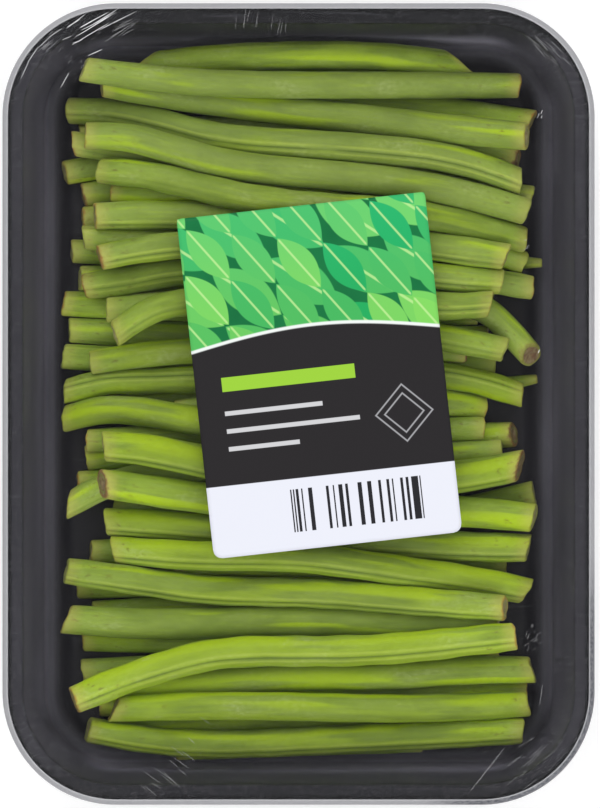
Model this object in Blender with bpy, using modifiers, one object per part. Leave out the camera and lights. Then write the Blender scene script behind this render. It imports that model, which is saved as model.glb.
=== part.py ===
"""A bundle of trimmed fine green beans in its tray: the beans, the moulded tray that holds them,
the clear film stretched round it and the paper label on the film.

X runs along the beans, Y along the tray and Z up. The origin is under the middle of the base.
Everything below is worked out in millimetres and turned into metres as each mesh is made.
"""

import math
import random

import bmesh
import bpy
import numpy as np

MM = 0.001
GAP = 0.3  # kept between pieces that touch

# Tray: half width and half length on its food side, from the floor out to the hanging lip
FLOOR_HALF = (57.3, 82.2)
WALL_TOP_HALF = (61.7, 85.2)
FLANGE_HALF = (64.7, 88.2)
LIP_HALF = (65.3, 88.8)
RIM_CORNER = 24.3  # corner radius of the lip
TRAY_WALL = 0.7
TRAY_TOP = 25.0
FLANGE_DROP = 0.3
WALL_TOP_DROP = 1.0
LIP_DEPTH = 2.4
FOOT_WIDTH = 4.0
PANEL_RISE = 2.0  # the middle of the floor stands this far above the foot
FLOOR_FILLET = 0.6

# Film: the outside of the wrap, which reaches under the base as a hem round an open middle
FILM = 0.3
FILM_HALF = (66.5, 90.0)
FILM_CORNER = 25.5
FILM_SHOULDER = 1.5
FILM_SHOULDER_IN = 0.3  # how far the middle of the shoulder's bevel stands in, as a share of it
FILM_TOP_INSET = 4.5
FILM_SKIRT_INSET = 0.1
HEM_WIDTH = 10.0
FILM_FOOT_CLEAR = 1.4

# Label: on top of the film, turned a little
LABEL_SIZE = (56.0, 76.7)
LABEL_THICK = 0.2
LABEL_CENTRE = (4.7, 6.4)
LABEL_TURN = math.radians(6.3)
LABEL_CORNER = 2.0

CORNER_STEPS = 6
BEAN_SIDES = 8
BEAN_RINGS = 11
BEAN_FLATTENING = 0.94
BEAN_ROLL = 0.5
END_TAPER = 0.10
TIP_SHARE = 0.4  # share of a half bean over which a thin tip draws in
CUT_JITTER = 7.0  # degrees by which a cut leaves square where none is given
SEED = 11

# Short slim beans that only fill the heap
HIDDEN_COUNT = 5
HIDDEN_DIAMETER = 5.0
HIDDEN_HALF = 28.0
HIDDEN_SPAN = 94.0
HIDDEN_SLANT = 0.8

# How the beans settle
BEAN_REACH = 56.0
STATION_STEP = 2.0  # the beans are set against each other every so far along X
END_MARGIN = 0.05  # share of its half length by which a bean's ends are kept clear
STACK_STEP = 0.7  # each bean starts this much above the one before it
SWEEPS = 400
EASING_SHARE = 0.8  # share of the sweeps in which the beans still fall and are held to their plan
FALL = 0.25
HOLD = 0.3  # share of its sideways shift that a bean gives back in a sweep
EASE = 0.45  # share of an overlap by which each of the two beans moves
LOWER_GIVE = 0.5  # share of a sideways push that a lower bean gives way to
UPPER_GIVE = 0.1  # the same for the beans that show
LOOSE_WEIGHT = 0.01  # how much the untouched stretches of a bean count against its touched ones
STIFFNESS = (0.0, 0.0, 0.5)  # against being moved, turned and bent
NEAR_ZERO = 1e-6

# Finishes: name, colour and roughness
TRAY_BLACK = ("tray_plastic", (0.022, 0.022, 0.025, 1.0), 0.35)
FILM_CLEAR = ("stretch_film", (0.9, 0.92, 0.93, 0.15), 0.1)
LABEL_PAPER = ("label_paper", (0.12, 0.45, 0.16, 1.0), 0.5)
BEAN_GREEN = ("bean_green", (0.22, 0.35, 0.04, 1.0), 0.45)

FOOT_UNDERSIDE = FILM + GAP
FOOT_TOP = FOOT_UNDERSIDE + TRAY_WALL
PANEL_TOP = FOOT_TOP + PANEL_RISE
FILM_TOP = TRAY_TOP + GAP + FILM
LABEL_BASE = FILM_TOP + GAP


def bean(diameter, line, cuts=(None, None), tips=(1.0, 1.0)):
    """One bean: its diameter, the plan points that its middle line passes from left to right, by how many
    degrees each cut turns its far side to the right, and how much of its width each end keeps."""
    return {"diameter": diameter, "line": line, "cuts": cuts, "tips": tips}


# The beans in the order in which they lie, lowest first. Plan points are from the tray's centre.
LOWER_BEANS = [
    bean(6.0, [(-41.0, -72.5), (0.5, -72.0), (45.0, -71.5)]),
    bean(6.0, [(-45.0, -69.0), (0.5, -66.0), (51.5, -64.5)]),
    bean(6.0, [(-49.0, -60.0), (0.5, -58.0), (45.0, -57.0)]),
    bean(6.0, [(-49.0, -54.5), (-22.0, -54.0), (11.5, -52.0), (46.5, -50.5)]),
    bean(6.0, [(-50.0, -43.0), (0.5, -41.5), (49.0, -47.0)]),
    bean(6.0, [(-46.5, -45.5), (-18.5, -44.5), (14.0, -45.0), (45.0, -46.5)]),
    bean(6.0, [(-47.0, -33.5), (0.5, -34.0), (47.0, -35.5)]),
    bean(6.0, [(-42.0, -24.0), (0.5, -25.0), (34.0, -24.5), (53.5, -20.0)]),
    bean(6.0, [(-50.0, -16.5), (0.5, -16.0), (45.0, -15.0)]),
    bean(6.0, [(-48.0, -12.0), (0.5, -9.5), (49.0, -4.5)]),
    bean(4.8, [(-42.5, 1.0), (0.5, 1.5), (40.5, 5.0), (54.0, 8.5)], tips=(1.0, 0.4)),
    bean(6.0, [(-53.5, 10.5), (0.5, 9.0), (44.5, 12.0)]),
    bean(6.0, [(-52.0, 19.0), (0.5, 16.5), (43.0, 16.0)]),
    bean(6.0, [(-53.5, 22.5), (0.5, 22.0), (40.5, 20.5)]),
    bean(6.0, [(-49.5, 27.5), (0.5, 28.5), (44.5, 28.0)]),
    bean(5.6, [(-51.5, 33.5), (0.5, 34.5), (40.5, 29.0), (55.0, 26.0)], tips=(1.0, 0.35)),
    bean(6.0, [(-49.0, 42.0), (0.5, 41.0), (45.0, 35.0)]),
    bean(5.6, [(-49.0, 47.0), (-42.5, 47.5), (0.5, 47.5), (46.5, 42.0)]),
    bean(5.8, [(-53.0, 52.0), (-45.0, 53.0), (-11.0, 54.0), (40.5, 48.5)]),
    bean(6.0, [(-49.5, 63.0), (-24.5, 61.5), (0.5, 60.5), (49.5, 54.5)]),
    bean(6.0, [(-42.0, 71.5), (-22.0, 71.0), (0.5, 69.5), (23.0, 67.5), (38.5, 65.5), (53.5, 63.5)], (0, 19)),
]
MIDDLE_BEANS = [
    bean(6.1, [(-40.5, 75.0), (-22.0, 77.0), (0.5, 78.0), (23.0, 77.5), (42.5, 75.0)]),
    bean(5.8, [(-51.5, 58.5), (-22.0, 55.5), (0.5, 53.5), (27.5, 50.0), (53.0, 46.0)], (-17, 9)),
    bean(5.6, [(-42.0, 48.5), (-33.5, 47.0), (-24.5, 46.5), (11.5, 41.5), (51.0, 32.0)]),
    bean(5.6, [(-49.0, 37.0), (0.5, 35.0), (31.0, 30.0), (53.0, 25.0)], (-10, -3)),
    bean(6.0, [(-43.5, 22.0), (0.5, 24.0), (31.5, 25.0), (45.0, 22.0), (52.5, 14.5)]),
    bean(5.4, [(-48.0, -8.5), (0.5, -5.5), (34.5, -5.5), (42.0, -5.5)]),
    bean(5.8, [(-53.5, -26.5), (-45.5, -21.5), (-22.0, -15.5), (23.0, -11.0), (46.0, -10.0)], (35, 0)),
]
UPPER_BEANS = [
    bean(6.1, [(-47.5, -73.0), (-33.5, -75.5), (-22.0, -76.5), (0.5, -76.0), (23.0, -75.0), (51.0, -73.5)],
         (0, 8)),
    bean(6.3, [(-44.5, -64.0), (-22.0, -63.0), (0.5, -61.5), (23.0, -61.0), (36.0, -60.0), (53.5, -59.5)],
         (-8, -15)),
    bean(6.1, [(-43.0, -68.5), (-22.0, -67.5), (0.5, -67.5), (23.0, -68.0), (52.0, -67.5)], (27, -10)),
    bean(6.9, [(-53.5, -49.0), (-33.5, -49.5), (0.5, -48.5), (23.0, -49.0), (45.0, -49.0)], (19, 0)),
    bean(6.6, [(-50.5, -67.0), (-41.0, -63.0), (-32.5, -60.0), (-22.0, -57.0), (0.5, -55.5), (23.0, -54.5),
               (36.0, -53.0), (49.0, -51.5)], (0, -4)),
    bean(6.2, [(-52.5, -37.0), (-33.5, -39.5), (-22.0, -41.0), (0.5, -42.0), (23.0, -44.0), (46.5, -46.5)],
         (3, -2)),
    bean(6.4, [(-42.5, -32.0), (-22.0, -34.5), (0.5, -35.5), (23.0, -38.5), (36.0, -40.0), (52.5, -42.5)],
         (-15, 21)),
    bean(6.6, [(-44.0, -26.0), (-20.0, -28.0), (0.5, -30.0), (23.0, -31.0), (36.0, -31.5), (52.5, -31.5)],
         (-10, 12)),
    bean(6.9, [(-45.0, -17.5), (-33.5, -19.5), (-21.0, -21.5), (7.0, -24.0), (37.5, -24.5), (53.5, -25.5)],
         (-15, 8)),
    bean(7.2, [(-44.5, -9.5), (-33.5, -10.5), (-21.0, -13.0), (7.0, -16.5), (36.0, -16.0), (51.5, -13.0)],
         (-11, 25)),
    bean(6.3, [(-53.5, -5.0), (-45.5, -2.5), (-37.0, -2.0), (-24.0, -3.5), (7.0, -2.0), (34.5, 0.5),
               (42.0, -1.0)], (16, 2)),
    bean(5.7, [(-53.5, 1.5), (-45.5, 4.0), (-37.0, 5.0), (-24.0, 6.0), (7.0, 7.0), (36.0, 6.0), (51.0, 1.0)],
         (17, -13)),
    bean(5.6, [(-47.0, 9.5), (-33.5, 11.0), (-24.5, 11.5), (7.0, 12.5), (38.0, 11.5)]),
    bean(6.0, [(-42.0, 15.5), (-35.5, 20.5), (-26.5, 24.0), (0.5, 22.5), (36.0, 16.5), (47.0, 14.0)], (16, 8)),
    bean(6.1, [(-48.5, 27.0), (-38.0, 28.5), (-27.0, 30.5), (0.5, 27.5), (32.5, 21.5), (44.0, 21.5)], (-7, 17)),
    bean(6.0, [(-45.0, 33.5), (-27.0, 36.0), (0.5, 33.5), (31.0, 29.0), (46.0, 28.0)], (-5, 6)),
    bean(6.4, [(-46.0, 41.0), (-27.0, 42.0), (0.5, 39.5), (30.5, 35.0), (47.5, 32.0)], (-3, 14)),
    bean(6.1, [(-45.0, 54.5), (-33.5, 52.5), (-22.0, 49.0), (0.5, 44.0), (29.5, 41.0), (51.5, 36.0)], (5, -9)),
    bean(6.5, [(-48.0, 60.0), (-38.0, 59.5), (-22.0, 55.0), (0.5, 51.5), (23.0, 49.0), (36.0, 46.5),
               (51.5, 42.0)], (0, 3)),
    bean(6.3, [(-52.0, 67.0), (-38.0, 65.5), (-22.0, 61.0), (0.5, 58.0), (23.0, 55.5), (36.0, 53.0),
               (50.5, 47.5)], (-3, -13)),
    bean(6.6, [(-45.0, 70.0), (-22.0, 67.0), (0.5, 64.5), (23.0, 62.0), (51.5, 59.0)], (-12, -3)),
    bean(5.9, [(-49.0, 74.5), (-26.0, 72.0), (0.5, 71.5), (27.5, 72.0), (50.0, 72.5)], (14, 3)),
]


def hidden_beans(draw):
    """Beans that only fill the heap under the ones that show."""
    filled = []
    for k in range(HIDDEN_COUNT):
        y = HIDDEN_SPAN * (2 * (k + 0.5) / HIDDEN_COUNT - 1)
        line = [(x, y + draw.uniform(-HIDDEN_SLANT, HIDDEN_SLANT)) for x in (-HIDDEN_HALF, 0.0, HIDDEN_HALF)]
        filled.append(bean(HIDDEN_DIAMETER, line))
    return filled


def clear_scene():
    for old in list(bpy.data.objects):
        bpy.data.objects.remove(old)


def material(name, colour, roughness):
    found = bpy.data.materials.get(name)
    if found:
        return found
    made = bpy.data.materials.new(name)
    made.use_nodes = True
    shader = made.node_tree.nodes["Principled BSDF"]
    shader.inputs["Base Color"].default_value = colour
    shader.inputs["Roughness"].default_value = roughness
    shader.inputs["Alpha"].default_value = colour[3]
    made.diffuse_color = colour
    return made


def rounded_rectangle(half, corner, z, centre=(0.0, 0.0), turn=0.0):
    """The points of a level rounded rectangle, anticlockwise from above, in millimetres."""
    points = []
    for quarter, (side_x, side_y) in enumerate([(1, 1), (-1, 1), (-1, -1), (1, -1)]):
        middle_x = side_x * (half[0] - corner)
        middle_y = side_y * (half[1] - corner)
        for step in range(CORNER_STEPS + 1):
            angle = math.pi / 2 * (quarter + step / CORNER_STEPS)
            x = middle_x + corner * math.cos(angle)
            y = middle_y + corner * math.sin(angle)
            points.append((
                centre[0] + x * math.cos(turn) - y * math.sin(turn),
                centre[1] + x * math.sin(turn) + y * math.cos(turn),
                z,
            ))
    return points


def loft(name, rings, finish, collection, closed_ends):
    """A skin through rings with equal numbers of points. The first ring is always filled, and the last one
    too if closed_ends. Rings that run outwards and anticlockwise give faces that point up."""
    shape = bmesh.new()
    loops = [[shape.verts.new([value * MM for value in point]) for point in ring] for ring in rings]
    for inner, outer in zip(loops, loops[1:]):
        for k in range(len(inner)):
            shape.faces.new((inner[k - 1], outer[k - 1], outer[k], inner[k]))
    shape.faces.new(loops[0])
    if closed_ends:
        shape.faces.new(loops[-1][::-1])
        bmesh.ops.recalc_face_normals(shape, faces=shape.faces)
    mesh = bpy.data.meshes.new(name)
    shape.to_mesh(mesh)
    shape.free()
    mesh.materials.append(material(*finish))
    made = bpy.data.objects.new(name, mesh)
    collection.objects.link(made)
    return made


def thicken(shell, thickness):
    """Gives an open skin its wall, on the side that its faces point away from."""
    solidify = shell.modifiers.new("wall", "SOLIDIFY")
    solidify.thickness = thickness * MM
    solidify.offset = -1.0
    solidify.use_even_offset = True


def make_tray(collection):
    def ring(half, z, grow=0.0):
        grown = (half[0] + grow, half[1] + grow)
        return rounded_rectangle(grown, RIM_CORNER - (LIP_HALF[0] - grown[0]), z)

    rings = [
        ring(FLOOR_HALF, PANEL_TOP, -FOOT_WIDTH - PANEL_RISE),
        ring(FLOOR_HALF, FOOT_TOP, -FOOT_WIDTH),
        ring(FLOOR_HALF, FOOT_TOP, -FLOOR_FILLET),
        ring(FLOOR_HALF, FOOT_TOP + FLOOR_FILLET),
        ring(WALL_TOP_HALF, TRAY_TOP - WALL_TOP_DROP),
        ring(WALL_TOP_HALF, TRAY_TOP - FLANGE_DROP, FLANGE_DROP),
        ring(FLANGE_HALF, TRAY_TOP),
        ring(LIP_HALF, TRAY_TOP - FLANGE_DROP),
        ring(LIP_HALF, TRAY_TOP - LIP_DEPTH),
    ]
    thicken(loft("tray", rings, TRAY_BLACK, collection, False), TRAY_WALL)


def make_film(collection):
    def ring(inset, z):
        half = (FILM_HALF[0] - inset, FILM_HALF[1] - inset)
        return rounded_rectangle(half, FILM_CORNER - inset, z)

    bevel = FILM_SHOULDER * FILM_SHOULDER_IN
    foot_inset = FILM_HALF[1] - FLOOR_HALF[1] - TRAY_WALL - FILM_FOOT_CLEAR
    rings = [
        ring(FILM_TOP_INSET, FILM_TOP),
        ring(FILM_SHOULDER, FILM_TOP),
        ring(bevel, FILM_TOP - bevel),
        ring(0.0, FILM_TOP - FILM_SHOULDER),
        ring(FILM_SKIRT_INSET, TRAY_TOP - LIP_DEPTH - GAP),
        ring(foot_inset, FILM_SHOULDER),
        ring(foot_inset + bevel, bevel),
        ring(foot_inset + FILM_SHOULDER, 0.0),
        ring(foot_inset + HEM_WIDTH, 0.0),
    ]
    thicken(loft("film", rings, FILM_CLEAR, collection, False), FILM)


def make_label(collection):
    half = (LABEL_SIZE[0] / 2, LABEL_SIZE[1] / 2)
    rings = [
        rounded_rectangle(half, LABEL_CORNER, z, LABEL_CENTRE, LABEL_TURN)
        for z in (LABEL_BASE, LABEL_BASE + LABEL_THICK)
    ]
    loft("label", rings, LABEL_PAPER, collection, True)


def line_at(spec, x):
    """Where a bean's middle line is across the tray at each x: the natural cubic through its plan points."""
    known_x, known_y = np.array(spec["line"]).T
    step = np.diff(known_x)
    slope = np.diff(known_y) / step
    system = np.eye(len(known_x))
    target = np.zeros(len(known_x))
    for k in range(1, len(known_x) - 1):
        system[k, k - 1 : k + 2] = step[k - 1], 2 * (step[k - 1] + step[k]), step[k]
        target[k] = 6 * (slope[k] - slope[k - 1])
    bend = np.linalg.solve(system, target)
    x = np.clip(x, known_x[0], known_x[-1])
    k = np.clip(np.searchsorted(known_x, x, side="right") - 1, 0, len(step) - 1)
    before = known_x[k + 1] - x
    after = x - known_x[k]
    return (
        bend[k] * before**3 / (6 * step[k])
        + bend[k + 1] * after**3 / (6 * step[k])
        + (known_y[k] / step[k] - bend[k] * step[k] / 6) * before
        + (known_y[k + 1] / step[k] - bend[k + 1] * step[k] / 6) * after
    )


def along_bean(spec, x):
    """How far along a bean each x is, from -1 at its left end to 1 at its right."""
    left = spec["line"][0][0]
    right = spec["line"][-1][0]
    return (2 * x - left - right) / (right - left)


def ease_shapes(along):
    """The three ways in which a bean is eased as it settles: moved, turned and bent."""
    return np.stack([np.ones_like(along), along, 1.5 * along**2 - 0.5], axis=-1)


def bean_radii(spec, along):
    """Radius along a bean: widest in the middle and a little slimmer towards its ends."""
    tips = np.where(along < 0, spec["tips"][0], spec["tips"][1])
    taper = 1.0 - END_TAPER * np.abs(along) ** 3
    drawn_in = np.clip((np.abs(along) - 1.0) / TIP_SHARE + 1.0, 0.0, 1.0)
    return spec["diameter"] / 2 * taper * (1.0 - (1.0 - tips) * drawn_in)


def wall_at(x, z):
    """How far from the middle the end wall of the tray stands, at each x and height."""
    rise = (z - FOOT_TOP) / (TRAY_TOP - WALL_TOP_DROP - FOOT_TOP)
    corner = RIM_CORNER - (LIP_HALF[0] - FLOOR_HALF[0])
    past = np.clip(np.abs(x) - (FLOOR_HALF[0] - corner), 0, corner)
    straight = FLOOR_HALF[1] + rise * (WALL_TOP_HALF[1] - FLOOR_HALF[1])
    return straight - corner + np.sqrt(corner**2 - past**2)


def settle(specs, give):
    """Lowers the beans from the heights they start at and eases them off the floor, the walls and each other.
    A bean gives way sideways by its own share. Every bean gets three terms of its sideways shift and three
    of its height."""
    x = np.arange(-BEAN_REACH, BEAN_REACH + STATION_STEP / 2, STATION_STEP)
    along = np.array([along_bean(spec, x) for spec in specs])
    there = np.abs(along) < 1.0 + END_MARGIN
    along = np.clip(along, -1.0, 1.0)
    shapes = ease_shapes(along)
    home = np.array([line_at(spec, x) for spec in specs])
    square = 1.0 / np.sqrt(1.0 + np.gradient(home, STATION_STEP, axis=1) ** 2)
    radius = np.array([bean_radii(spec, place) for spec, place in zip(specs, along)])
    contact = radius[:, None] + radius[None] + GAP
    facing = np.minimum(square[:, None], square[None])
    both = there[:, None] & there[None] & ~np.eye(len(specs), dtype=bool)[:, :, None]
    laid_later = np.sign(np.subtract.outer(np.arange(len(specs)), np.arange(len(specs))))[:, :, None]
    shift = np.zeros((len(specs), 3))
    height = np.zeros((len(specs), 3))
    height[:, 0] = PANEL_TOP + STACK_STEP * np.arange(1, len(specs) + 1)
    for sweep in range(SWEEPS):
        fade = max(0.0, 1.0 - sweep / (EASING_SHARE * SWEEPS))
        height[:, 0] -= FALL * fade
        shift *= 1.0 - HOLD * fade
        y = home + np.einsum("nsk,nk->ns", shapes, shift)
        z = np.einsum("nsk,nk->ns", shapes, height)
        apart_y = (y[:, None] - y[None]) * facing
        apart_z = z[:, None] - z[None]
        distance = np.hypot(apart_y, apart_z) + NEAR_ZERO
        overlap = np.where(both, np.clip(contact - distance, 0.0, None), 0.0)
        under_floor = np.clip(PANEL_TOP + GAP + radius - z, 0.0, None) * there
        over_top = np.clip(z + radius + GAP - TRAY_TOP, 0.0, None) * there
        in_wall = np.clip(np.abs(y) + radius + GAP - wall_at(x[None], z), 0.0, None) * there
        sideways = (overlap * apart_y / distance).sum(axis=1) * (give if fade > 0 else 1.0)
        upwards = (overlap * np.abs(apart_z) * laid_later / distance).sum(axis=1)
        push_y = EASE * sideways - np.sign(y) * in_wall
        push_z = EASE * upwards + under_floor - over_top
        touched = overlap.sum(axis=1) + under_floor + over_top + in_wall > 0
        weight = np.where(touched, 1.0, LOOSE_WEIGHT) * there
        system = np.einsum("nsk,ns,nsl->nkl", shapes, weight, shapes) + np.diag(STIFFNESS)
        for terms, push in ((shift, push_y), (height, push_z)):
            wanted = np.einsum("nsk,ns->nk", shapes, weight * push)
            terms += np.linalg.solve(system, wanted[:, :, None])[:, :, 0]
    return shift, height


def bean_rings(spec, shift, height, cuts, roll):
    """Sections square to the bean, except for the first and last, which follow the cuts."""
    x = np.linspace(spec["line"][0][0], spec["line"][-1][0], BEAN_RINGS)
    along = along_bean(spec, x)
    shapes = ease_shapes(along)
    centres = np.column_stack([x, line_at(spec, x) + shapes @ shift, shapes @ height])
    tangents = np.gradient(centres, axis=0)
    tangents /= np.linalg.norm(tangents, axis=1)[:, None]
    radii = bean_radii(spec, along)
    rings = []
    for place, (centre, forward, radius) in enumerate(zip(centres, tangents, radii)):
        side = np.cross((0.0, 0.0, 1.0), forward)
        side /= np.linalg.norm(side)
        up = np.cross(forward, side)
        lean = 0.0
        if place == 0:
            lean = math.tan(math.radians(cuts[0]))
            centre = centre + forward * radius * abs(lean)
        if place == BEAN_RINGS - 1:
            lean = math.tan(math.radians(cuts[1]))
            centre = centre - forward * radius * abs(lean)
        ring = []
        for corner in range(BEAN_SIDES):
            angle = math.tau * corner / BEAN_SIDES
            wide = radius * math.cos(angle)
            deep = radius * math.sin(angle) * BEAN_FLATTENING
            across = wide * math.cos(roll) - deep * math.sin(roll)
            above = wide * math.sin(roll) + deep * math.cos(roll)
            ring.append(centre + side * across + up * above + forward * across * lean)
        rings.append(ring)
    return rings


def make_beans(collection):
    draw = random.Random(SEED)
    specs = LOWER_BEANS + hidden_beans(draw) + MIDDLE_BEANS + UPPER_BEANS
    give = np.full((len(specs), 1), LOWER_GIVE)
    give[-len(UPPER_BEANS) - len(MIDDLE_BEANS):] = UPPER_GIVE
    shifts, heights = settle(specs, give)
    for number, (spec, shift, height) in enumerate(zip(specs, shifts, heights), start=1):
        jitter = [draw.uniform(-CUT_JITTER, CUT_JITTER) for _ in range(2)]
        cuts = [lean if given is None else given for given, lean in zip(spec["cuts"], jitter)]
        rings = bean_rings(spec, shift, height, cuts, draw.uniform(-BEAN_ROLL, BEAN_ROLL))
        loft(f"bean_{number:02d}", rings, BEAN_GREEN, collection, True)


def main():
    clear_scene()
    collection = bpy.data.collections.new("green_bean_bundle")
    bpy.context.scene.collection.children.link(collection)
    make_tray(collection)
    make_film(collection)
    make_label(collection)
    make_beans(collection)


main()
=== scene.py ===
"""The looks of a bundle of trimmed fine green beans, in a black moulded tray under clear stretch film with a
paper label. Lengths are in millimetres until a mesh is made, and X runs along the beans."""

import math
import random

import bmesh
import bpy
import numpy as np
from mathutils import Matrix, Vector


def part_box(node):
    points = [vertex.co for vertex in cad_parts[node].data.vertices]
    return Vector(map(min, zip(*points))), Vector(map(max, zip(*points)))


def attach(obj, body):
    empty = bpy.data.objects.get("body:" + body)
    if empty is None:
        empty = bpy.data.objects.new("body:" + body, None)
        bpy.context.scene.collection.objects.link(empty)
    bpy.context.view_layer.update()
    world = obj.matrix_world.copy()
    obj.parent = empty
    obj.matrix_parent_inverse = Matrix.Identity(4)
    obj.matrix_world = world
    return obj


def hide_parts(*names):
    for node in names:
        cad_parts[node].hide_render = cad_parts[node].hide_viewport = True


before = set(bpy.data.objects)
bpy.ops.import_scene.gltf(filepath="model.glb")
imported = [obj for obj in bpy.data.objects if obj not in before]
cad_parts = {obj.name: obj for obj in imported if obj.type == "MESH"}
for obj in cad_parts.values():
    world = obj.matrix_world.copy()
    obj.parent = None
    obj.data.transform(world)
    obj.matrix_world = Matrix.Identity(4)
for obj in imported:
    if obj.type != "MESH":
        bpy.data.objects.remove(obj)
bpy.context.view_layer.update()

MM = 0.001
BODY = "root"
SEED = 7

# Camera: straight down, its picture's long side just wider than the rim
PICTURE = (600, 808)
CAMERA_HEIGHT = 3000.0
VIEW_LENGTH = 181.2
VIEW_CENTRE = (0.34, 0.0)
SENSOR = 36.0

# Beans
CAD_RINGS = 11
SIDES = 36
STATIONS = 104
CAP_ROWS = 6
CAP_CREASE = 0.50
BEAN_FLATTENING = 0.94
BEAN_FILL = 0.12
HIDDEN_FILL = -0.35
HIDDEN_BEANS = range(22, 27)
SEED_PITCH = 11.5
SEED_SWELL = (0.08, 0.26)
SUTURE_RIDGE = 0.10
SUTURE_GROOVE = 0.13
RAGGED_CUT = 0.9
CUT_LEAN_REACH = 7.0
COORDINATE_STEP = 400.0

# Cuts that have dried brown: how far, at the left and at the right end of a bean
FRESH_CUT = 0.22
STAINED_CUTS = {
    42: (0.95, 0.2), 49: (0.75, 0.2), 48: (0.75, 0.3), 18: (0.85, 0.3), 28: (0.65, 0.2), 20: (0.3, 0.95),
    55: (0.2, 0.6), 21: (0.2, 0.6), 10: (0.3, 0.9), 43: (0.2, 0.9), 46: (0.2, 0.95), 31: (0.2, 1.0),
    40: (0.3, 0.25), 35: (0.45, 0.3), 37: (0.4, 0.2), 36: (0.4, 0.3), 44: (0.25, 0.5), 19: (0.4, 0.4),
}
# Degrees by which a cut face is turned up towards the top, at the left and at the right end
FACE_UP = {31: (0, 38), 43: (0, 16), 10: (0, 18), 20: (0, 14), 36: (12, 0), 42: (6, 0), 49: (8, 0)}
# The side of the bean, in turns from its +Y side over its top, that its seam runs along
SEAMS = {
    53: 0.30, 50: 0.37, 49: 0.33, 48: 0.30, 38: 0.32, 41: 0.36, 40: 0.34, 39: 0.37, 34: 0.36, 43: 0.38, 45: 0.20,
}

# Beans with brighter yellow-green streaks on their broad sides, partly the skin's own colour and partly painted
# highlight, and how much
BRIGHT_BEANS = {
    38: 1.1, 40: 0.9, 35: 1.0, 36: 0.9, 34: 0.6, 41: 0.8, 45: 0.4, 43: 0.5, 42: 0.4, 39: 0.3, 27: 0.1,
    50: -0.2, 51: -0.5, 52: -0.4, 53: -0.5, 54: 0.1, 55: -0.6,
}
# The beans from this one on lie on top, and those below them are painted paler, painted light that lifts the shade they
# lie in
FIRST_UPPER = 34
# Cuts that slope back on their far side: how far they slope, at the left and at the right end
SLANTED_CUTS = {27: (1.5, -1.7)}

# Tray
RIM_CORNER = 24.3
TRAY_WALL = 0.7
CORNER_STEPS = 18

# Film
FILM_WALL = 0.08
FILM_CORNER = 25.5

GREEN = (0.219, 0.315, 0.036)
DEEP_GREEN = (0.160, 0.236, 0.028)
BRIGHT_GREEN = (0.350, 0.495, 0.008)
GREY_GREEN = (0.216, 0.278, 0.072)
PALE_BLOOM = (0.330, 0.390, 0.150)
PALE_SEAM_AND_HIGHLIGHT = (0.420, 0.510, 0.085)
CUT_YELLOW = (0.440, 0.390, 0.100)
CUT_ORANGE = (0.330, 0.150, 0.035)
CUT_BROWN = (0.140, 0.072, 0.042)
CUT_FLESH = (0.400, 0.380, 0.180)
SPECK_BROWN = (0.120, 0.085, 0.020)
# Tray colours: beside the plastic's own black, the floor and flange tones are painted shade and the foot and sides
# tones painted light
TRAY_FLOOR_PAINTED_SHADE = (0.036, 0.034, 0.042)
TRAY_FOOT_PAINTED_LIGHT = (0.098, 0.094, 0.114)
TRAY_SIDES_PAINTED_LIGHT = (0.074, 0.071, 0.088)
TRAY_FLANGE_PAINTED_SHADE = (0.030, 0.029, 0.036)
TRAY_LIP = (0.010, 0.010, 0.012)
TRAY_MARK = (0.110, 0.110, 0.125)


class Term:
    """A socket that can be used in Python arithmetic. Numbers go through Math nodes, and vectors and colours
    through Vector Math."""

    def __init__(self, build, socket):
        self.build = build
        self.socket = socket

    def __add__(self, other):
        return self.build.combine("ADD", self, other)

    def __radd__(self, other):
        return self.build.combine("ADD", other, self)

    def __sub__(self, other):
        return self.build.combine("SUBTRACT", self, other)

    def __rsub__(self, other):
        return self.build.combine("SUBTRACT", other, self)

    def __mul__(self, other):
        return self.build.combine("MULTIPLY", self, other)

    def __rmul__(self, other):
        return self.build.combine("MULTIPLY", other, self)

    def __truediv__(self, other):
        return self.build.combine("DIVIDE", self, other)

    def __rtruediv__(self, other):
        return self.build.combine("DIVIDE", other, self)

    def __pow__(self, other):
        return self.build.combine("POWER", self, other)


def is_vector(value):
    if isinstance(value, Term):
        return value.socket.type in ("VECTOR", "RGBA")
    return isinstance(value, (tuple, list, Vector))


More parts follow.
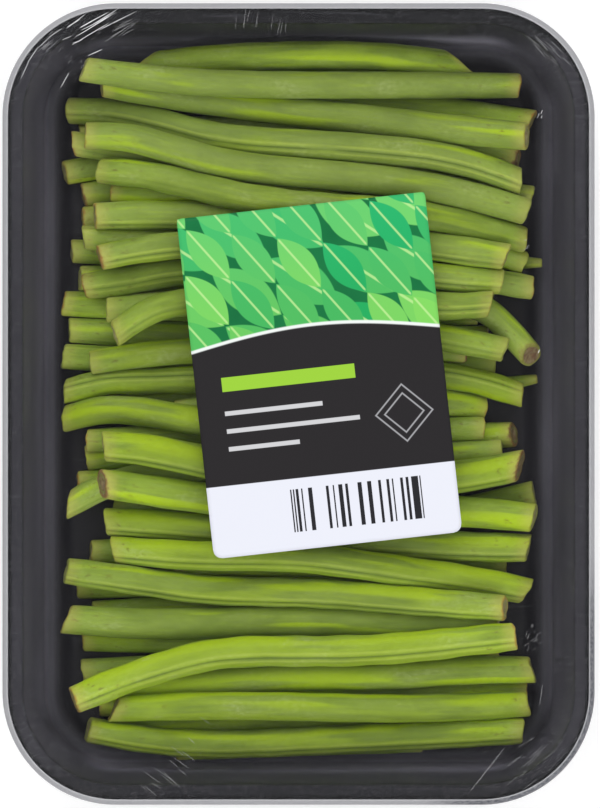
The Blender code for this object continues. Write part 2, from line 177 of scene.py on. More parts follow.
class Build:
    """Adds nodes to a tree, a shader's or one of Geometry Nodes."""

    def __init__(self, tree):
        self.tree = tree

    def node(self, kind, settings=None, inputs=None):
        """A node of this type. Its settings are set first, then its sockets get their values or links."""
        made = self.tree.nodes.new(kind)
        for name, value in (settings or {}).items():
            if name == "stops":
                while len(made.color_ramp.elements) < len(value):
                    made.color_ramp.elements.new(0.5)
                for element, (place, colour) in zip(made.color_ramp.elements, value):
                    element.position = place
                    element.color = (*colour, 1.0)
            else:
                setattr(made, name, value)
        for name, value in (inputs or {}).items():
            socket = made.inputs[name]
            if isinstance(value, Term):
                self.tree.links.new(value.socket, socket)
            elif socket.type == "RGBA" and len(value) == 3:
                socket.default_value = (*value, 1.0)
            else:
                socket.default_value = value
        return made

    def out(self, kind, settings=None, inputs=None, output=0):
        return Term(self, self.node(kind, settings, inputs).outputs[output])

    def math(self, operation, *values):
        return self.out("ShaderNodeMath", {"operation": operation}, dict(enumerate(values)))

    def vector(self, operation, *values):
        output = "Value" if operation in ("LENGTH", "DOT_PRODUCT", "DISTANCE") else "Vector"
        return self.out("ShaderNodeVectorMath", {"operation": operation}, dict(enumerate(values)), output)

    def combine(self, operation, first, second):
        if not is_vector(first) and not is_vector(second):
            return self.math(operation, first, second)
        if operation == "MULTIPLY" and is_vector(first) != is_vector(second):
            whole, share = (first, second) if is_vector(first) else (second, first)
            return self.out(
                "ShaderNodeVectorMath", {"operation": "SCALE"}, {"Vector": whole, "Scale": share}, "Vector"
            )
        return self.vector(operation, first, second)

    def split(self, vector):
        made = self.node("ShaderNodeSeparateXYZ", None, {0: vector})
        return [Term(self, socket) for socket in made.outputs]

    def join(self, x, y, z):
        return self.out("ShaderNodeCombineXYZ", None, {0: x, 1: y, 2: z})

    def step(self, value, low, high):
        """Goes smoothly from 0 at low to 1 at high."""
        return self.out(
            "ShaderNodeMapRange", {"interpolation_type": "SMOOTHSTEP"},
            {"Value": value, "From Min": low, "From Max": high},
        )

    def bump_at(self, value, place, width):
        """A smooth hump of height 1 where value is at place, and 0 past width on either side."""
        return 1.0 - self.step(self.math("ABSOLUTE", value - place), 0.0, width)

    def mix(self, share, first, second, blend="MIX"):
        return self.out(
            "ShaderNodeMix", {"data_type": "RGBA", "blend_type": blend, "clamp_factor": True},
            {"Factor": share, 6: first, 7: second}, 2,
        )

    def noise(self, place, scale, detail=2.0, roughness=0.5, distortion=0.0):
        return self.out("ShaderNodeTexNoise", None, {
            "Vector": place, "Scale": scale, "Detail": detail, "Roughness": roughness, "Distortion": distortion,
        })

    def stretched(self, place, along, across, up=None):
        """A place whose distances along each axis count by these amounts."""
        return self.vector("MULTIPLY", place, (along, across, across if up is None else up))


def new_material(name):
    made = bpy.data.materials.new(name)
    made.use_nodes = True
    made.node_tree.nodes.clear()
    return made, Build(made.node_tree)


def finish_material(build, inputs, height=None, strength=0.4, distance=0.1):
    """The Principled shader of a material, with its bump where it has one."""
    if height is not None:
        inputs["Normal"] = build.out(
            "ShaderNodeBump", None, {"Strength": strength, "Distance": distance * MM, "Height": height}
        )
    shader = build.out("ShaderNodeBsdfPrincipled", None, inputs)
    build.node("ShaderNodeOutputMaterial", None, {"Surface": shader})


def attribute(build, name):
    return build.out("ShaderNodeAttribute", {"attribute_name": name}, None, "Vector")


def object_place(build):
    """Object coordinates in millimetres."""
    return build.out("ShaderNodeTexCoord", None, None, "Object") * (1 / MM)


def green_bean_material():
    """Bean skin: lengthwise fibres and bright streaks, partly painted highlight on the broad sides, a seam down each
    side with a painted highlight along its flank, and cuts that have yellowed. The lower beans are painted paler,
    painted light that lifts their shade; the skin near the cuts is paler, partly its own colour and partly the same
    painted light.
    """
    made, b = new_material("green_bean_skin")
    straight = attribute(b, "straight") * (1 / MM)
    along, side, rise = b.split(straight)
    from_cut, reach, stain = b.split(attribute(b, "cut"))
    tone, hue, paleness_and_painted_lift = b.split(attribute(b, "tone"))
    from_cut = from_cut * (1 / MM)

    depth, seed, _ = b.split(attribute(b, "suture"))

    clouds = b.noise(b.stretched(straight, 0.08, 0.24), 1.0, 2.0)
    mottle = b.noise(b.stretched(straight, 0.9, 1.3), 1.0, 4.0, 0.75)
    fibres = b.noise(b.stretched(straight, 0.09, 2.4), 1.0, 2.0, 0.6)
    streaks = b.noise(b.stretched(straight, 0.035, 0.36), 1.0, 1.0)

    angle = b.math("ABSOLUTE", b.math("ARCTAN2", rise, side))
    flat_side = b.step(b.math("SINE", angle), 0.55, 1.0)
    colour = b.mix(b.step(clouds, 0.32, 0.62), DEEP_GREEN, GREEN)
    colour = b.mix(b.step(clouds * 0.6 + hue * 0.4, 0.34, 0.70) * 0.5, colour, GREY_GREEN)
    # Brighter yellow green on the broad sides: partly the skin's own streaks and partly a painted highlight
    bright = b.step(streaks + tone * 0.13, 0.50, 0.68) * (0.30 + 0.55 * flat_side)
    colour = b.mix(bright, colour, BRIGHT_GREEN)
    colour = b.mix(b.step(fibres, 0.40, 0.75) * 0.22, colour, BRIGHT_GREEN)
    colour = b.mix(b.step(clouds * 0.6 + mottle * 0.4, 0.56, 0.70) * 0.40, colour, PALE_BLOOM)

    on_skin = b.step(reach, 0.93, 0.99) * depth
    # A painted highlight along the flank of the seam ridge, then the seam's groove darker and the back seam paler
    colour = b.mix(b.bump_at(angle, 0.27, 0.16) * on_skin * 0.45, colour, PALE_SEAM_AND_HIGHLIGHT)
    colour = b.mix(b.bump_at(angle, 0.0, 0.13) * on_skin * 0.80, colour, (0.075, 0.120, 0.010))
    colour = b.mix(b.bump_at(angle, math.pi, 0.16) * on_skin * 0.30, colour, PALE_SEAM_AND_HIGHLIGHT)

    ragged = b.noise(b.stretched(straight, 0.9, 0.9), 1.0, 3.0, 0.6)
    edge = from_cut + (ragged - 0.5) * 2.0
    specks = b.step(b.noise(b.stretched(straight, 0.55, 1.1), 1.0, 2.0, 0.7), 0.60, 0.72)
    colour = b.mix(specks * (1.0 - b.step(from_cut, 3.0, 22.0)) * 0.55, colour, SPECK_BROWN)
    dark = b.step(stain, 0.95, 1.0)
    yellowed = (1.0 - b.step(edge, 0.2, 4.2)) * (0.30 + stain * 0.35 - dark * 0.50)
    colour = b.mix(yellowed, colour, CUT_YELLOW)
    rind = b.mix(b.step(stain, 0.6, 0.95) * 0.8, CUT_ORANGE, CUT_BROWN)
    browned = (1.0 - b.step(edge, 0.0, 0.25 + stain * 0.6)) * (b.step(stain, 0.05, 0.80) * 0.90 - dark * 0.5)
    colour = b.mix(browned, colour, rind)
    face = 1.0 - b.step(reach, 0.84, 0.95)
    flesh = b.mix(b.step(ragged, 0.3, 0.7) * 0.4 + stain * 0.6, CUT_FLESH, CUT_BROWN)
    flesh = b.mix(b.bump_at(reach, 0.70, 0.20) * (0.55 - dark * 0.55), flesh, DEEP_GREEN)
    colour = b.mix(face, colour, flesh)
    # Brightness of the skin: its random paleness, raised on the lower beans as painted light, and its mottling
    shade = 0.66 + paleness_and_painted_lift * 0.18 + mottle * 0.52 + (1.0 - b.step(from_cut, 3.0, 22.0)) * 0.17
    # The last term of the brightness above makes the skin paler within 22 mm of each cut, partly its own paler ends and
    # partly painted light lifting the shade there
    colour = b.mix(1.0, colour, b.join(shade, shade, shade), "MULTIPLY")

    height = fibres * 0.4 + mottle * 0.5 - face * 0.3
    finish_material(b, {
        "Base Color": colour,
        "Roughness": 0.44 + mottle * 0.20,
        "Specular IOR Level": 0.18,
    }, height, 0.5, 0.10)
    return made


def tray_material(half):
    """Black moulded plastic with faint light scratches. Its colour also carries painted light and shade: its sides and
    foot are painted paler, and its flange, floor and end walls darker, to even out how the light falls. The corners of
    its lip turn about points this far from its middle."""
    made, b = new_material("black_tray_plastic")
    place = object_place(b)
    x, y, _ = b.split(place)
    past = [b.math("MAXIMUM", b.math("ABSOLUTE", axis) - reach, 0.0) for axis, reach in ((x, half[0]), (y, half[1]))]
    inset = RIM_CORNER - b.vector("LENGTH", b.join(past[0], past[1], 0.0))
    clouds = b.noise(place, 0.06, 2.0)
    rubbed = b.noise(b.stretched(place, 0.05, 1.2, 0.5), 1.0, 1.0, 0.5, 0.6)
    marks = b.step(rubbed, 0.62, 0.76)
    # Painted shade and light: the flange is darker and the sides paler, evening out how the light falls on them
    colour = b.mix(b.step(inset, 0.5, 1.5), TRAY_LIP, TRAY_FLANGE_PAINTED_SHADE)
    colour = b.mix(b.step(inset, 3.2, 4.2), colour, TRAY_SIDES_PAINTED_LIGHT)
    # Painted shade: the walls are darker towards both ends of the tray
    at_ends = b.step(b.math("ABSOLUTE", y), half[1] + 12.0, half[1] + 21.0)
    colour = colour * (1.0 - at_ends * 0.50)
    # Painted light: the foot of the wall is painted paler to lift the shade there, more at the ends; in the corners
    # less is lifted and the foot is painted darker
    foot = b.step(inset, 5.5, 8.5) * (1.0 - b.step(inset, 9.5, 12.0))
    in_corner = b.step(b.math("MINIMUM", past[0], past[1]), 2.0, 9.0)
    # Painted shade: the floor inside the foot is darker, as under the beans
    colour = b.mix(b.step(inset, 9.5, 12.0), colour, TRAY_FLOOR_PAINTED_SHADE)
    colour = b.mix(foot * (0.8 + at_ends), colour, TRAY_FOOT_PAINTED_LIGHT)
    by_end = b.step(b.math("ABSOLUTE", y), half[1] + 8.0, half[1] + 14.0)
    # Painted light along the lower wall, stronger at the ends and weaker in the corners
    painted_lift = b.bump_at(inset, 7.4, 2.0) * 0.70 + b.bump_at(inset, 7.0, 1.8) * by_end * 2.2
    colour = colour * (1.0 + painted_lift * (1.0 - in_corner * 0.85) - in_corner * foot * 0.25)
    # Painted shade: a darker band where the foot meets the floor
    colour = colour * (1.0 - b.step(inset, 9.6, 10.8) * 0.40)
    # Painted shade: the flange and wall at the +Y end are darker still
    colour = colour * (1.0 - b.step(y, half[1] + 14.0, half[1] + 20.0) * (1.0 - b.step(inset, 5.0, 6.5)) * 0.42)
    colour = colour * (0.80 + clouds * 0.40)
    colour = b.mix(marks * 0.16, colour, TRAY_MARK)
    finish_material(b, {
        "Base Color": colour,
        "Roughness": 0.36 + clouds * 0.14 + marks * 0.08,
        "Specular IOR Level": 0.16,
    }, clouds + rubbed * 0.2, 0.1, 0.05)
    return made


def film_material():
    """Clear stretch film: all but unseen where it is flat, and a bright haze where it is gathered at the rim."""
    made, b = new_material("clear_stretch_film")
    place = object_place(b)
    gather, fold, rim = b.split(attribute(b, "gather"))
    x, y, _ = b.split(place)
    drawn = b.out("ShaderNodeTexNoise", {"noise_dimensions": "2D"}, {
        "Vector": b.join((x + y * 0.55) * 0.10, (y - x * 0.55) * 1.7, 0.0), "Detail": 1.0, "Distortion": 0.5,
    })
    scuffs = b.step(drawn, 0.54, 0.80)
    grain = b.step(b.noise(b.stretched(place, 1.0, 1.0, 3.0), 1.3, 2.0, 0.7), 0.36, 0.64)
    crushed = b.step(x - y * 0.7, 88.0, 102.0) * gather
    gathered = b.mix(crushed * (0.55 + grain * 0.45), (0.39, 0.39, 0.41), (0.105, 0.108, 0.125))
    finish_material(b, {
        "Base Color": b.mix(gather, (0.75, 0.76, 0.80), gathered),
        "Roughness": 0.30,
        "Specular IOR Level": 0.12,
        "Alpha": 0.003 + scuffs * (0.012 + rim * 0.09) + gather * 0.70 + fold * (0.08 + scuffs * 0.20) + crushed * 0.15,
    })
    return made


def crease_painted_glint_material():
    """Tight creases in the film, painted white as glints where the real film catches the light, broken along their
    length.
    """
    made, b = new_material("film_crease_painted_glint")
    broken = b.noise(object_place(b), 0.7, 1.0)
    clear, _, _ = b.split(attribute(b, "shine"))
    finish_material(b, {
        "Base Color": (0.95, 0.95, 0.98),
        "Roughness": 0.4,
        "Specular IOR Level": 0.4,
        "Alpha": clear * b.step(broken, 0.14, 0.40),
    })
    return made


# Label print, in millimetres from its lower left corner
LABEL_SIZE = (56.0, 76.7)
LABEL_TURN = math.radians(6.3)
LABEL_CORNERS = (0.5, 2.0)
LABEL_THICK = 0.16
STRIP_TOP = 16.0
PANEL_TOP = 46.5


def label_material():
    """Coated paper with a plain print: rows of leaves over a charcoal panel, and a white strip with bars."""
    made, b = new_material("printed_label_paper")
    across, up, _ = b.split(b.out("ShaderNodeUVMap", {"uv_map": "sheet"}, None, "UV"))
    across = across * LABEL_SIZE[0]
    up = up * LABEL_SIZE[1]

    def leaves(width, length, turn, shift):
        """Rows of pointed leaves of this size: where there is one, its vein, and a number for each leaf."""
        x = across * math.cos(turn) + up * math.sin(turn) + shift
        y = up * math.cos(turn) - across * math.sin(turn) + shift * 0.7
        column = b.math("FLOOR", x / width)
        y = y + b.math("MODULO", column, 2.0) * (length / 2)
        row = b.math("FLOOR", y / length)
        from_x = b.math("ABSOLUTE", x / width - column - 0.5) * 2.0
        from_y = b.math("ABSOLUTE", y / length - row - 0.5) * 2.0
        edge = (1.0 - from_y * from_y) * 1.02 - from_x
        chance = b.out("ShaderNodeTexWhiteNoise", {"noise_dimensions": "2D"}, {"Vector": b.join(column, row, 0.0)})
        vein = (1.0 - b.step(from_x, 0.03, 0.10)) * b.step(edge, 0.05, 0.2)
        return b.step(edge, 0.0, 0.08), vein, chance

    colour = b.mix(b.noise(b.join(across, up, 0.0), 0.12, 2.0), (0.004, 0.130, 0.040), (0.010, 0.210, 0.060))
    for width, length, turn, shift in ((9.0, 19.0, 0.9, 4.0), (7.0, 15.0, 0.62, 1.0)):
        leaf, vein, chance = leaves(width, length, turn, shift)
        body = b.mix(chance, (0.012, 0.400, 0.110), (0.230, 0.680, 0.120))
        body = b.mix(b.step(up, 50.0, 78.0) * 0.35, body, (0.03, 0.55, 0.22))
        colour = b.mix(leaf, colour, b.mix(vein * 0.7, body, (0.560, 0.860, 0.330)))
    panel_edge = PANEL_TOP + 3.4 * b.math("SINE", across * (math.pi / LABEL_SIZE[0]))
    on_panel = 1.0 - b.step(up - panel_edge, -0.08, 0.08)
    colour = b.mix(on_panel, colour, (0.021, 0.019, 0.021))
    colour = b.mix(b.bump_at(up - panel_edge, 0.0, 0.55) * 1.6, colour, (0.86, 0.90, 0.88))

    def bar(left, low, width, height):
        inside_x = b.step(across, left - 0.06, left + 0.06) * (1.0 - b.step(across, left + width - 0.06, left + width + 0.06))
        inside_y = b.step(up, low - 0.06, low + 0.06) * (1.0 - b.step(up, low + height - 0.06, low + height + 0.06))
        return inside_x * inside_y

    colour = b.mix(bar(6.0, 37.0, 30.0, 3.2), colour, (0.330, 0.620, 0.045))
    for left, low, width in ((6.0, 31.6, 22.0), (6.0, 27.6, 30.0), (6.0, 23.6, 16.0)):
        colour = b.mix(bar(left, low, width, 1.0), colour, (0.62, 0.62, 0.64))
    slant = b.math("ABSOLUTE", across - 46.0) + b.math("ABSOLUTE", up - 28.0)
    for reach in (6.4, 4.4):
        colour = b.mix(b.bump_at(slant, reach, 0.4), colour, (0.42, 0.42, 0.44))

    on_strip = 1.0 - b.step(up, STRIP_TOP - 0.08, STRIP_TOP + 0.08)
    colour = b.mix(on_strip, colour, (0.800, 0.815, 0.900))
    bars = b.out("ShaderNodeTexWhiteNoise", {"noise_dimensions": "1D"}, {"W": b.math("FLOOR", across / 0.62)})
    thin = b.out("ShaderNodeTexWhiteNoise", {"noise_dimensions": "1D"}, {"W": b.math("FLOOR", across / 0.31) + 40.0})
    printed = b.math("GREATER_THAN", bars * 0.6 + thin * 0.4, 0.52)
    colour = b.mix(printed * bar(17.0, 4.0, 31.0, 9.6), colour, (0.020, 0.020, 0.024))
    paper = b.noise(b.join(across, up, 0.0), 2.2, 3.0)
    finish_material(b, {
        "Base Color": colour,
        "Roughness": 0.34 + paper * 0.14,
        "Specular IOR Level": 0.12,
    }, paper, 0.15, 0.03)
    return made


def adopt(piece, name_of_slot, *nodes):
    """A finished piece joins the model: it rides on the pack and stands for these CAD nodes."""
    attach(piece, BODY)
    if nodes:
        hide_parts(*nodes)


def new_piece(name, mesh, finish):
    mesh.name = name
    mesh.materials.clear()
    mesh.materials.append(finish)
    made = bpy.data.objects.new(name, mesh)
    bpy.context.scene.collection.objects.link(made)
    return made


def new_group(name, sockets):
    """A Geometry Nodes tree with these named inputs. Gives its builder, its inputs and a way to end it."""
    tree = bpy.data.node_groups.new(name, "GeometryNodeTree")
    tree.interface.new_socket(name="Geometry", in_out="INPUT", socket_type="NodeSocketGeometry")
    tree.interface.new_socket(name="Geometry", in_out="OUTPUT", socket_type="NodeSocketGeometry")
    for label, kind in sockets.items():
        tree.interface.new_socket(name=label, in_out="INPUT", socket_type="NodeSocket" + kind)
    build = Build(tree)
    entry = build.node("NodeGroupInput")
    given = {socket.name: Term(build, socket) for socket in entry.outputs if socket.name}

    def end(geometry):
        whole = build.out("GeometryNodeRealizeInstances", None, {"Geometry": geometry})
        whole = build.out("GeometryNodeSetShadeSmooth", None, {"Geometry": whole})
        whole = build.out("GeometryNodeSetMaterial", None, {"Geometry": whole, "Material": given["Material"]})
        build.node("NodeGroupOutput", None, {"Geometry": whole})

    return tree, build, given, end


def run_group(carrier, tree, values):
    """The mesh that a tree makes from a carrier object, which is then removed."""
    modifier = carrier.modifiers.new(tree.name, "NODES")
    modifier.node_group = tree
    for item in tree.interface.items_tree:
        if item.in_out == "INPUT" and item.name in values:
            modifier[item.identifier] = values[item.name]
    bpy.context.view_layer.update()
    evaluated = carrier.evaluated_get(bpy.context.evaluated_depsgraph_get())
    mesh = bpy.data.meshes.new_from_object(evaluated)
    carrier.modifiers.clear()
    bpy.data.objects.remove(carrier)
    return mesh


def bean_group():
    """Draws a bean's skin along its middle line, whose radius is the bean's: a grid of stations and sides is
    rolled up, with its first and last rows drawn in to close the two cuts."""
    tree, b, given, end = new_group("bean_skin", {
        "Material": "Material", "Length": "Float", "Offset": "Float", "Seam": "Float", "Seeds": "Float",
        "Swell": "Float", "Lean": "Vector", "Face Up": "Vector", "Stain": "Vector", "Tone": "Vector",
        "Suture": "Float",
    })
    line = b.out("GeometryNodeCurveSplineType", {"spline_type": "CATMULL_ROM"}, {"Curve": given["Geometry"]})
    grid = b.out("GeometryNodeMeshGrid", None, {
        "Size X": 1.0, "Size Y": 1.0, "Vertices X": STATIONS, "Vertices Y": SIDES + 1,
    })
    row, turn, _ = b.split(b.out("GeometryNodeInputPosition"))
    row = row + 0.5
    turn = (turn + 0.5) * math.tau
    cap_share = CAP_ROWS / (STATIONS - 1)
    from_end = b.math("MINIMUM", row, 1.0 - row)
    reach = b.math("MINIMUM", from_end / cap_share, 1.0)
    inside = b.math("MINIMUM", b.math("MAXIMUM", (row - cap_share) / (1.0 - 2.0 * cap_share), 0.0), 1.0)
    share = 0.5 - 0.5 * b.math("COSINE", inside * math.pi)
    sample = b.node("GeometryNodeSampleCurve", {"mode": "FACTOR", "use_all_curves": True}, {
        "Curves": line, "Value": b.out("GeometryNodeInputRadius"), "Factor": share,
    })
    radius, middle, forward = (Term(b, sample.outputs[name]) for name in ("Value", "Position", "Tangent"))
    side = b.vector("NORMALIZE", b.vector("CROSS_PRODUCT", (0.0, 0.0, 1.0), forward))
    up = b.vector("CROSS_PRODUCT", forward, side)

    along = share * given["Length"]
    from_cut = b.math("MINIMUM", along, given["Length"] - along)
    place = b.join(along + given["Offset"], 0.0, 0.0)
    angle = turn - given["Seam"]
    folded = b.math("ABSOLUTE", b.math("WRAP", angle, math.pi, -math.pi))
    flat_side = b.math("SINE", folded) * b.math("SINE", folded)
    seed = 0.5 + 0.5 * b.math("COSINE", share * given["Seeds"] * math.tau + given["Offset"] * (90.0 / COORDINATE_STEP / MM))
    waver = b.noise(place, 95.0, 1.0) - 0.5
    swell = given["Swell"] * (seed * 0.9 + waver * 1.6) * (0.35 + 0.65 * flat_side)
    depth = given["Suture"] * b.step(b.noise(place, 60.0, 1.0), 0.20, 0.50)
    ridge = b.bump_at(folded, 0.0, 0.55) * (SUTURE_RIDGE * MM) - b.bump_at(folded, 0.0, 0.13) * (SUTURE_GROOVE * MM)
    back_ridge = b.bump_at(folded, math.pi, 0.3) * (SUTURE_RIDGE * 0.7 * MM)
    worn = b.step(from_cut, 0.0, 4.0 * MM)
    crease = b.math("MINIMUM", radius * 0.4, CAP_CREASE * MM)
    rounding = 1.0 - b.math("MINIMUM", from_cut / crease, 1.0)
    rounded = (1.0 - b.math("SQRT", b.math("MAXIMUM", 1.0 - rounding * rounding, 0.0))) * crease
    full = radius + (swell + (ridge + back_ridge) * depth) * (0.3 + 0.7 * worn) - rounded
    full = full * reach
    across = full * b.math("COSINE", turn)
    above = full * b.math("SINE", turn) * BEAN_FLATTENING

    at_left = b.math("LESS_THAN", row, 0.5)
    lean_left, lean_right, _ = b.split(given["Lean"])
    up_left, up_right, _ = b.split(given["Face Up"])
    lean = lean_left * at_left + lean_right * (1.0 - at_left)
    lift = up_left * at_left + up_right * (1.0 - at_left)
    fade = 1.0 - b.step(from_cut, 0.0, CUT_LEAN_REACH * MM)
    dish = (1.0 - reach * reach) * (0.28 * MM) + b.bump_at(reach, 0.0, 0.45) * (0.35 * MM)
    round_cut = b.join(along + given["Offset"], full * b.math("COSINE", turn), full * b.math("SINE", turn))
    ragged = (b.noise(round_cut, 420.0, 1.0) - 0.5) * (RAGGED_CUT * MM) * (1.0 - b.step(from_cut, 0.0, 1.5 * MM))
    ahead = (across * lean + above * lift) * fade + (dish - ragged) * (2.0 * at_left - 1.0)

    stain_left, stain_right, _ = b.split(given["Stain"])
    stain = stain_left * at_left + stain_right * (1.0 - at_left)
    straight = b.join(along + given["Offset"], full * b.math("COSINE", angle), full * b.math("SINE", angle))
    shape = grid
    for name, value in (
        ("straight", straight), ("cut", b.join(from_cut, reach, stain)), ("tone", given["Tone"]),
        ("suture", b.join(depth, seed, 0.0)),
    ):
        shape = b.out("GeometryNodeStoreNamedAttribute", {"data_type": "FLOAT_VECTOR", "domain": "POINT"}, {
            "Geometry": shape, "Name": name, "Value": value,
        })
    shape = b.out("GeometryNodeSetPosition", None, {
        "Geometry": shape, "Position": middle + side * across + up * above + forward * ahead,
    })
    end(b.out("GeometryNodeMergeByDistance", None, {"Geometry": shape, "Distance": 0.001 * MM}))
    return tree


def cad_rings(node):
    """The rings of a CAD bean, from its left end to its right: its points, parted at the widest gaps along X."""
    points = np.array([vertex.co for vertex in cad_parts[node].data.vertices])
    points = np.unique(np.round(points, 7), axis=0)
    points = points[np.argsort(points[:, 0])]
    gaps = np.argsort(np.diff(points[:, 0]))[-(CAD_RINGS - 1):]
    return np.split(points, np.sort(gaps) + 1)


def ring_centre(ring):
    """The middle of a ring's longest diagonal, which holds where the solid has lost a point of the ring too."""
    apart = np.linalg.norm(ring[:, None] - ring[None], axis=2)
    ends = np.unravel_index(apart.argmax(), apart.shape)
    return (ring[ends[0]] + ring[ends[1]]) / 2


def cut_lean(ring, forward):
    """The slope of a cut across the bean, read from how its ring leans."""
    side = np.cross((0.0, 0.0, 1.0), forward)
    side /= np.linalg.norm(side)
    offsets = ring - ring_centre(ring)
    across = offsets @ side
    return float((offsets @ forward) @ across / (across @ across))


def ring_radius(ring, forward):
    """The largest distance of a ring's points from its middle, measured square to the bean."""
    forward = forward / np.linalg.norm(forward)
    offsets = ring - ring_centre(ring)
    return float(np.linalg.norm(offsets - (offsets @ forward)[:, None] * forward, axis=1).max())


def make_beans():
    group = bean_group()
    finish = green_bean_material()
    draw = random.Random(SEED)
    numbers = sorted(int(name.split("_")[1]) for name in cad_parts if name.startswith("bean_"))
    for number in numbers:
        node = f"bean_{number:02d}"
        rings = cad_rings(node)
        centres = np.array([ring_centre(ring) for ring in rings])
        radii = [ring_radius(rings[k], centres[min(k + 1, CAD_RINGS - 1)] - centres[max(k - 1, 0)])
                 for k in range(CAD_RINGS)]
        steps = np.linalg.norm(np.diff(centres, axis=0), axis=1)
        leans = [cut_lean(rings[k], (centres[k + way] - centres[k]) * way / steps[k]) for k, way in ((0, 1), (-1, -1))]
        for k, (way, slope) in enumerate(zip((1, -1), SLANTED_CUTS.get(number, ()))):
            centres[-k] += (centres[-k + way] - centres[-k]) / steps[-k] * radii[-k] * abs(slope)
            leans[k] = slope
        curve = bpy.data.curves.new(node + "_line", "CURVE")
        curve.dimensions = "3D"
        spline = curve.splines.new("POLY")
        spline.points.add(CAD_RINGS - 1)
        for point, centre, radius in zip(spline.points, centres, radii):
            point.co = (*centre, 1.0)
            point.radius = radius + (HIDDEN_FILL if number in HIDDEN_BEANS else BEAN_FILL) * MM
        carrier = bpy.data.objects.new(node + "_line", curve)
        bpy.context.scene.collection.objects.link(carrier)
        tilts = [draw.uniform(-6, 10), draw.uniform(-6, 10)]
        tilts = FACE_UP.get(number, tilts)
        stains = STAINED_CUTS.get(number, [FRESH_CUT + draw.uniform(-0.15, 0.35) for _ in range(2)])
        seam = SEAMS.get(number, draw.choice((0.06, 0.12, 0.33, 0.4, 0.46)) + draw.uniform(-0.03, 0.03))
        length = float(steps.sum())
        mesh = run_group(carrier, group, {
            "Material": finish,
            "Length": length,
            "Offset": number * COORDINATE_STEP * MM,
            "Seam": seam * math.tau,
            "Seeds": round(length / MM / SEED_PITCH) + draw.uniform(-0.5, 0.5),
            "Swell": draw.uniform(*SEED_SWELL) * MM,
            "Lean": (leans[0], leans[1], 0.0),
            "Face Up": (math.tan(math.radians(tilts[0])), -math.tan(math.radians(tilts[1])), 0.0),
            "Stain": (*stains, 0.0),
            # The last tone is a random paleness, raised on the lower beans as painted light that lifts their shade
            "Tone": (
                BRIGHT_BEANS.get(number, draw.uniform(-1.0, 0.6)), draw.random(),
                draw.random() + (0.8 if number < FIRST_UPPER else 0.0),
            ),
            "Suture": draw.uniform(0.85, 1.0) if number in SEAMS else draw.uniform(0.0, 0.45),
        })
        adopt(new_piece(f"green_bean_{number:02d}", mesh, finish), "bean_green", node)


def rounded_outline(half, corner, steps=CORNER_STEPS, side_steps=(1, 1)):
    """The points of a rounded rectangle, anticlockwise from above, with extra points along its sides."""
    corners = []
    for quarter, (side_x, side_y) in enumerate([(1, 1), (-1, 1), (-1, -1), (1, -1)]):
        middle = np.array([side_x * (half[0] - corner), side_y * (half[1] - corner)])
        angles = np.pi / 2 * (quarter + np.arange(steps + 1) / steps)
        corners.append(middle + corner * np.column_stack([np.cos(angles), np.sin(angles)]))
    points = []
    for quarter, arc in enumerate(corners):
        points.extend(arc)
        start, finish = arc[-1], corners[(quarter + 1) % 4][0]
        count = side_steps[quarter % 2]
        points.extend(start + (finish - start) * k / count for k in range(1, count))
    return np.array(points)


def rounded_profile(points, steps=5):
    """A profile with each of its corners rounded by a curve. A point is its two places and its rounding."""
    made = []
    for k, (x, z, radius) in enumerate(points):
        here = np.array([x, z])
        if radius == 0 or k in (0, len(points) - 1):
            made.append(here)
            continue
        before = np.array(points[k - 1][:2]) - here
        after = np.array(points[k + 1][:2]) - here
        start = here + before / np.linalg.norm(before) * min(radius, 0.45 * np.linalg.norm(before))
        finish = here + after / np.linalg.norm(after) * min(radius, 0.45 * np.linalg.norm(after))
        for step in np.linspace(0.0, 1.0, steps):
            made.append((1 - step) ** 2 * start + 2 * step * (1 - step) * here + step**2 * finish)
    return np.array(made)


def skin(rings, closed_middle):
    """A skin through rings of points in millimetres, with its first ring filled by a fan if closed_middle."""
    shape = bmesh.new()
    loops = [[shape.verts.new(Vector(point) * MM) for point in ring] for ring in rings]
    for inner, outer in zip(loops, loops[1:]):
        for k in range(len(inner)):
            shape.faces.new((inner[k - 1], outer[k - 1], outer[k], inner[k]))
    if closed_middle:
        middle = shape.verts.new(sum((Vector(point) for point in rings[0]), Vector()) / len(rings[0]) * MM)
        for k in range(len(loops[0])):
            shape.faces.new((loops[0][k - 1], loops[0][k], middle))
    for face in shape.faces:
        face.smooth = True
    return shape


def solid(shape, name, thickness):
    """The mesh of a skin given its wall on the side that its faces point away from."""
    mesh = bpy.data.meshes.new(name)
    shape.to_mesh(mesh)
    shape.free()
    carrier = bpy.data.objects.new(name + "_skin", mesh)
    bpy.context.scene.collection.objects.link(carrier)
    wall = carrier.modifiers.new("wall", "SOLIDIFY")
    wall.thickness = thickness * MM
    wall.offset = -1.0
    wall.use_even_offset = True
    bpy.context.view_layer.update()
    made = bpy.data.meshes.new_from_object(carrier.evaluated_get(bpy.context.evaluated_depsgraph_get()))
    bpy.data.objects.remove(carrier)
    return made


def make_tray():
    """The tray: a raised panel in its floor, a foot, sloping walls, a flange and a rolled lip."""
    low, high = (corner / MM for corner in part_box("tray"))
    lip = np.array([high.x, high.y])
    foot = low.z + TRAY_WALL
    top = high.z
    profile = rounded_profile([
        (22.0, foot + 2.0, 0.0), (14.1, foot + 2.0, 1.2), (12.0, foot, 1.0), (8.0, foot, 1.6), (3.6, top - 1.0, 0.3),
        (3.3, top - 0.3, 0.5), (0.6, top, 0.5), (0.0, top - 0.3, 0.5), (0.0, top - 2.4, 0.0),
    ])
    rings = []
    for inset, z in profile:
        outline = rounded_outline(lip - inset, max(RIM_CORNER - inset, 2.0))
        rings.append(np.column_stack([outline, np.full(len(outline), z)]))
    mesh = solid(skin(rings, True), "moulded_tray", TRAY_WALL)
    adopt(new_piece("moulded_tray", mesh, tray_material(lip - RIM_CORNER)), "tray_plastic", "tray")


